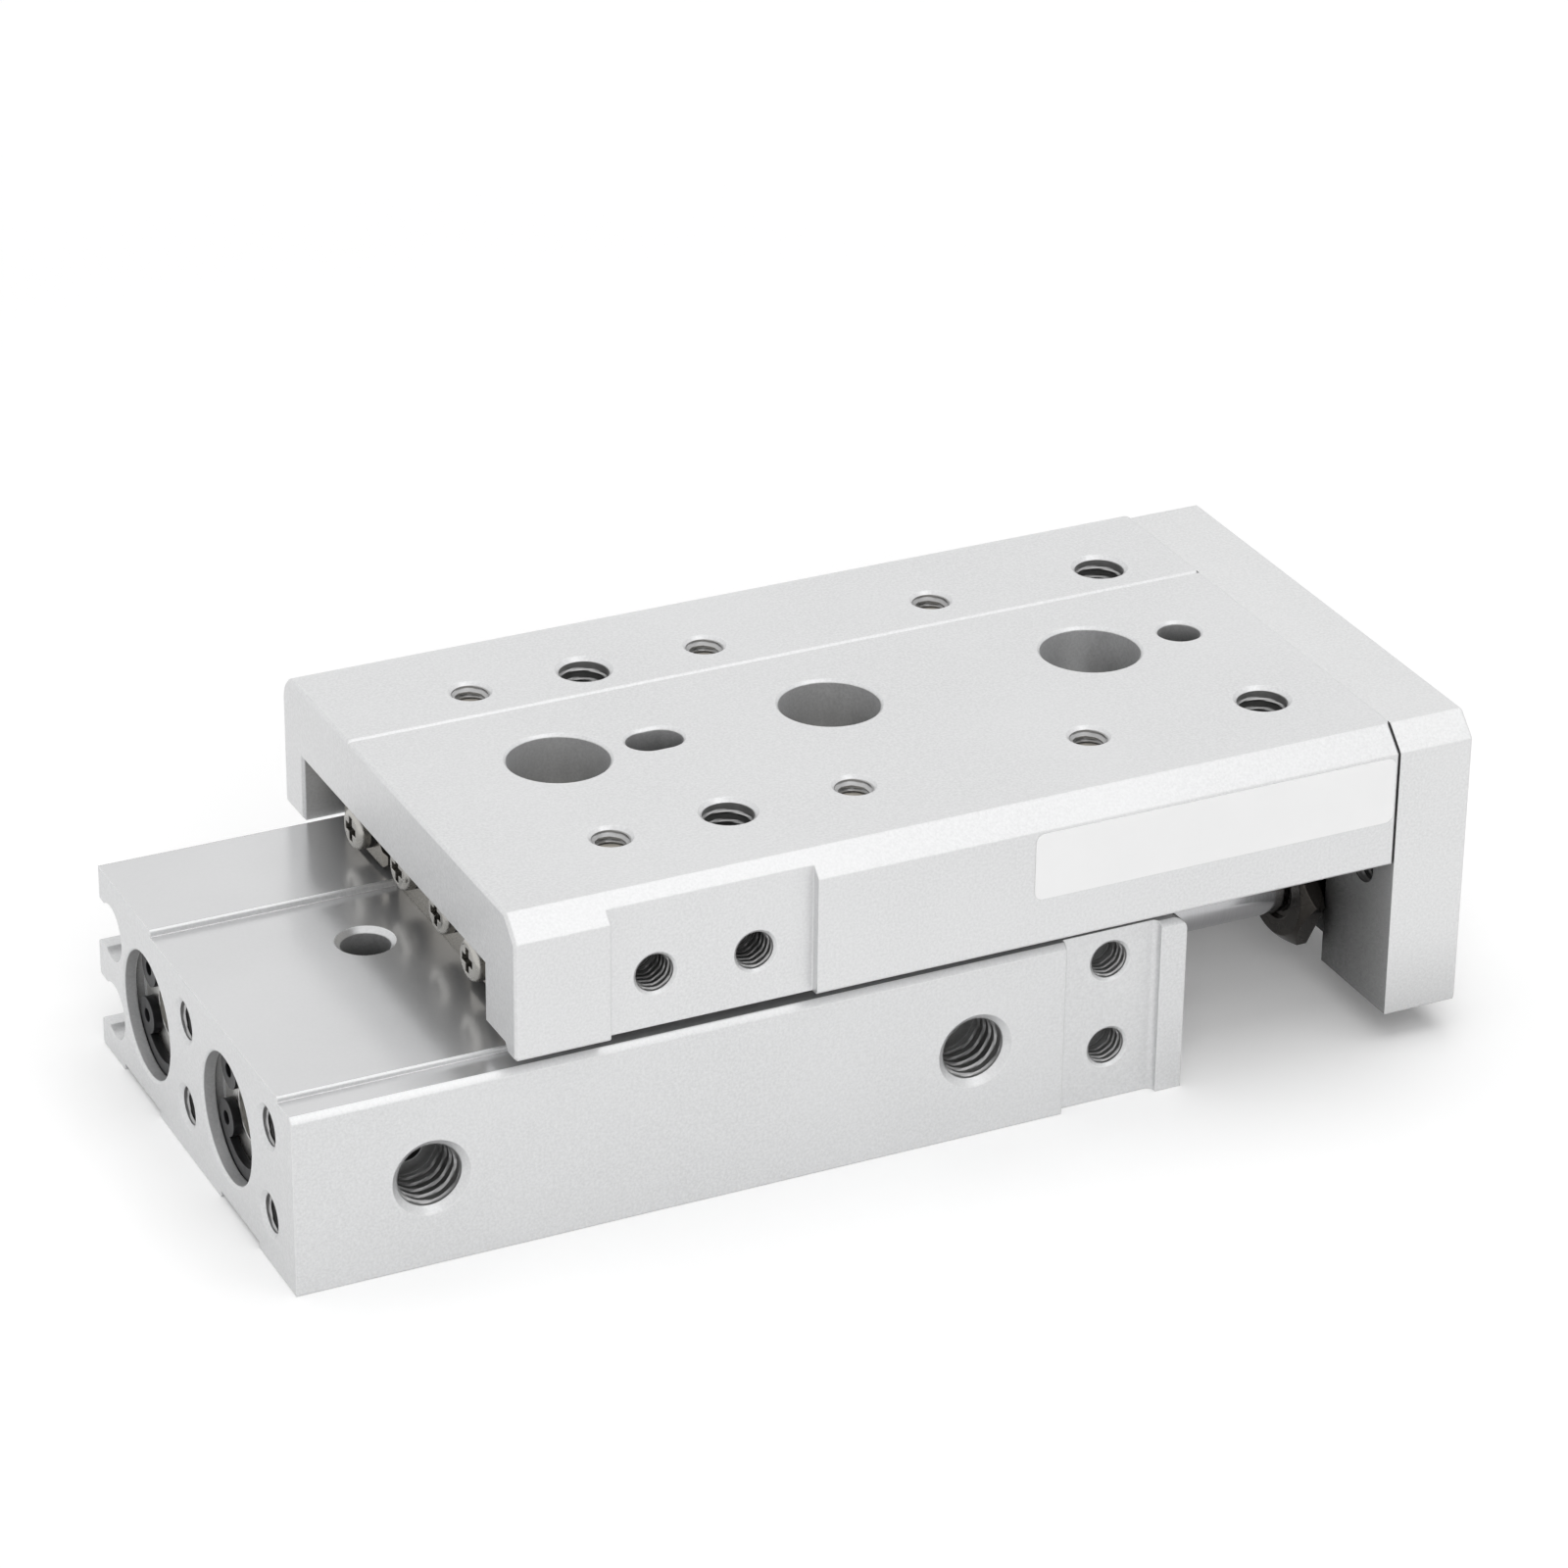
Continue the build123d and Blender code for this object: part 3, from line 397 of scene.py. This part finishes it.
def tooled_metal(name, colour, low, high, stretch,
                 metallic=1.0, depth=0.0006, radius=0.08, shade=0.25):
    """Bare or plated metal with lines of the tool, which change its tone, gloss and height, and with a
    painted highlight on its edges.

    Its roughness runs from low to high, and its lines repeat stretch times in a metre along X, Y and Z.
    Depth and radius are the lines' height and the edges' rounding in millimetres. Shade is how much
    light the painted shade leaves in its deepest hollows.
    """
    material, tree, shader = finish(name)
    edge = effect_in(tree, soft_edge, Radius=radius * MM)
    lines = effect_in(tree, tool_lines, Stretch=stretch).outputs["Lines"]
    lined = blend_colour(tree, lines, tint(colour, 0.88), tint(colour))
    # Painted highlight: the rounded edges are painted paler.
    highlight_share = maths(tree, "MULTIPLY", edge.outputs["Edge"], 0.5)
    edged = blend_colour(tree, highlight_share, lined, tint(colour, 1.35))
    # Painted shade in the hollows.
    shaded = darkened(tree, painted_hollow_shade, edged, Reach=12.0 * MM, Low=shade)
    height = maths(tree, "MULTIPLY", lines, depth * MM)
    wire(tree, shader, shaded, from_mask(tree, lines, low, high),
         relief(tree, height, 0.6, Normal=edge.outputs["Normal"]))
    shader.inputs["Metallic"].default_value = metallic
    return material


def moulded(name, colour, low, high):
    """Rubber or resin: dull, with a fine skin and a slow change of tone."""
    material, tree, shader = finish(name)
    grain = effect_in(tree, blasted, Fine=7000.0, Slow=260.0)
    tone = blend_colour(tree, grain.outputs["Cloud"], tint(colour, 0.8), tint(colour))
    skin = maths(tree, "MULTIPLY", grain.outputs["Grain"], 0.002 * MM)
    wire(tree, shader, tone, from_mask(tree, grain.outputs["Grain"], low, high), relief(tree, skin, 0.5))
    return material


def both(*names):
    """The names of pieces that come as a front and a rear twin."""
    return [name + end for name in names for end in ("_front", "_rear")]


dress(tooled_metal("chromed_rod", (0.5, 0.5, 0.51), 0.14, 0.2, (9000.0, 300.0, 300.0), depth=0.0002),
      *both("piston_rod"))
dress(tooled_metal("turned_alloy", (0.82, 0.81, 0.785), 0.25, 0.4, (7000.0, 200.0, 200.0), shade=0.8),
      *both("piston", "head_cap", "rod_gland"))
dress(moulded("seal_rubber", (0.02, 0.02, 0.021), 0.45, 0.6),
      *both("piston_seal", "piston_bumpers", "head_cap_seal", "gland_seal", "rod_seal"),
      "rail_stop_washers", "guide_stop_washers")
dress(moulded("pressed_magnet", (0.035, 0.034, 0.033), 0.4, 0.55), *both("magnet"))
spring_skin = (900.0, 900.0, 900.0)
dress(tooled_metal("blackened_spring", (0.03, 0.03, 0.032), 0.3, 0.42, spring_skin, metallic=0.7),
      *both("head_cap_ring", "gland_ring"))


# Crossed-roller guide
# The rail, both guides and the rollers are hardened and ground steel, left bare and oiled.
# Plated cap screws hold rail and guides, and round-headed end screws keep the rollers in.

screw_skin = (1600.0, 1600.0, 1600.0)
dress(tooled_metal("guide_steel", (0.36, 0.342, 0.31), 0.24, 0.34, (60.0, 3000.0, 3000.0), depth=0.0003),
      "guide_rail", *both("guide"))
dress(tooled_metal("roller_steel", (0.62, 0.62, 0.61), 0.1, 0.18, (3000.0, 3000.0, 3000.0)),
      *both("rollers"))
dress(tooled_metal("cage_brass", (0.42, 0.34, 0.2), 0.3, 0.42, (90.0, 3600.0, 3600.0)),
      *both("roller_cage"))
# The guide screws take a copy of the plated finish painted paler and without painted shade, as painted
# light on their ends down in the table's holes.
dress(tooled_metal("guide_screw_lit_copy", (0.86, 0.82, 0.75), 0.3, 0.4, screw_skin,
                   metallic=0.6, shade=1.0), "guide_screws")
dress(tooled_metal("plated_screw", (0.52, 0.508, 0.48), 0.24, 0.34, screw_skin, radius=0.1),
      "rail_screws", "rail_stopper_screws", "guide_stopper_screws", "end_plate_bolts",
      *both("rod_end_screw"))


# Sliding table
# The table is a machined aluminium channel, blasted to an even grain and silver anodised.
# It is bolted from below to both guides. Its top carries tapped, clear and locating holes.

table_top, table_front = 24.0, -19.25
dress(anodised("table_aluminium", (0.695, 0.698, 0.702)), "table")
threads("load_hole_threads", "slide", DOWN,
        [(x, y, table_top) for x in (1.0, 41.0) for y in (-11.6, 11.6)],
        core=1.62, wall=1.75, pitch=0.7, start=0.28, end=4.3)
threads("side_tap_threads", "slide", BACK,
        [(x, table_front, 17.75) for x in (-7.7, -0.6)],
        start=0.2, end=3.3, **small_tap)
threads("guide_screw_threads", "slide", DOWN,
        [(x, y, table_top) for x in (-7.4, 10.1, 27.6) for y in (-11.65, 11.65)],
        core=1.05, wall=1.3, pitch=0.45, start=0.22, end=1.17)


# Label
# A bare white plastic film with round corners is stuck on the front of the table.
# It has a satin coat and lies a little proud of the aluminium.

def film(name, colour):
    """Plastic film with a satin coat and a faint mottle."""
    material, tree, shader = finish(name)
    grain = effect_in(tree, blasted, Fine=3000.0, Slow=220.0)
    tone = blend_colour(tree, grain.outputs["Cloud"], tint(colour, 0.975), tint(colour))
    ripple = maths(tree, "MULTIPLY", grain.outputs["Cloud"], 0.004 * MM)
    rough = from_mask(tree, grain.outputs["Grain"], 0.38, 0.5)
    wire(tree, shader, tone, rough, relief(tree, ripple, 0.4))
    return material


dress(film("label_film", (0.96, 0.96, 0.96)), "label_film")


# End plate
# The plate across the right end is aluminium like the table and is held by four cap screws.
# Each rod ends in a blackened hexagonal bushing that lies before the plate's blind pocket.

# What stands close round the plate's inner face mostly moves with it, so here its painted shade darkens
# the plate.
painted_contact_shade = hollows("painted_contact_shade", False)
dress(anodised("plate_aluminium", (0.71, 0.713, 0.715), around=painted_contact_shade,
               reach=18.0, low=0.04, closed=0.24, clear=0.66), "end_plate")
plate_inner_face = 47.0
threads("adjuster_threads", "slide", RIGHT,
        [(plate_inner_face, -16.1, 12.2)],
        start=0.05, end=5.65, **small_tap)
bushing_skin = (1500.0, 1500.0, 1500.0)
dress(tooled_metal("blackened_bushing", (0.06, 0.055, 0.05), 0.2, 0.3, bushing_skin, radius=0.12),
      *both("floating_bushing"))


# Studio
# A plain white floor lies under broad soft light from above, with a white room all round.
# Floor and room are brighter to the camera and in reflections than as light on the object.

scene = bpy.context.scene
scene.view_settings.view_transform = "Standard"


def seen_share(tree):
    """1 for what the camera sees, straight, mirrored or through glass, and 0 for light on the object."""
    path = node(tree, "ShaderNodeLightPath")
    bounced = maths(tree, "MAXIMUM", path.outputs["Is Glossy Ray"], path.outputs["Is Transmission Ray"])
    return maths(tree, "MAXIMUM", path.outputs["Is Camera Ray"], bounced)


# The floor is 6 m wide and lies 0.02 mm under the body, so that their faces don't meet.
half, drop = 3.0, -0.02 * MM
corners = [(-half, -half, drop), (half, -half, drop), (half, half, drop), (-half, half, drop)]
floor_mesh = bpy.data.meshes.new("floor")
floor_mesh.from_pydata(corners, [], [(0, 1, 2, 3)])
floor = bpy.data.objects.new("floor", floor_mesh)
scene.collection.objects.link(floor)
floor_paper, tree, shader = finish("floor_paper")
shader.inputs["Base Color"].default_value = (0.95, 0.95, 0.95, 1.0)
shader.inputs["Roughness"].default_value = 0.9
shader.inputs["Specular IOR Level"].default_value = 0.1
shader.inputs["Emission Color"].default_value = (1.0, 1.0, 1.0, 1.0)

# The lamps reach the floor near the object only, so further out it glows more to stay white.
near, far = 0.15, 1.6
faint, strong = 0.12, 0.72
place = node(tree, "ShaderNodeTexCoord").outputs["Object"]
distance = node(tree, "ShaderNodeVectorMath", {"operation": "LENGTH"}, i0=place).outputs["Value"]
glow = between(tree, distance, near, far, faint, strong)
tree.links.new(maths(tree, "MULTIPLY", seen_share(tree), glow), shader.inputs["Emission Strength"])
floor_mesh.materials.append(floor_paper)

world = bpy.data.worlds.new("white_room")
world.use_nodes = True
scene.world = world
tree = world.node_tree
background = tree.nodes["Background"]
background.inputs["Color"].default_value = (1.0, 1.0, 1.0, 1.0)
tree.links.new(from_mask(tree, seen_share(tree), 0.3, 1.0), background.inputs["Strength"])


def softbox(name, spot, aim, size, power, mirrored=True):
    """A square area lamp at a spot in metres, turned to face its aim."""
    lamp = bpy.data.lights.new(name, "AREA")
    lamp.shape = "RECTANGLE"
    lamp.size = size
    lamp.size_y = size
    lamp.energy = power
    holder = bpy.data.objects.new(name, lamp)
    holder.location = spot
    away = np.array(spot) - np.array(aim)
    yaw = math.atan2(away[0], -away[1])
    tilt = math.atan2(math.hypot(away[0], away[1]), away[2])
    holder.rotation_euler = (tilt, 0.0, yaw)
    holder.visible_glossy = mirrored
    scene.collection.objects.link(holder)


softbox("overhead", spot=(0.0, 0.1, 1.1), aim=(0.0, 0.0, 0.0), size=1.4, power=8.5, mirrored=False)
softbox("front", spot=(-0.25, -0.9, 0.7), aim=(0.0, 0.0, 0.01), size=0.8, power=4.2, mirrored=False)
softbox("glint", spot=(0.3, -0.5, 0.95), aim=(0.0, 0.0, 0.01), size=0.5, power=0.7)


# Camera
# The view comes from the front left and from above, as in the photograph.
# Its place, turn and lens were solved from edges measured there.

lens = bpy.data.cameras.new("camera")
lens.sensor_width = 36.0
lens.lens = 133.265
lens.clip_start = 0.01
lens.clip_end = 20.0
camera = bpy.data.objects.new("camera", lens)
camera.location = (-0.1426621, -0.3148924, 0.1978868)
camera.rotation_euler = [math.radians(v) for v in (62.879, -0.5885, -25.659)]
scene.collection.objects.link(camera)
scene.camera = camera
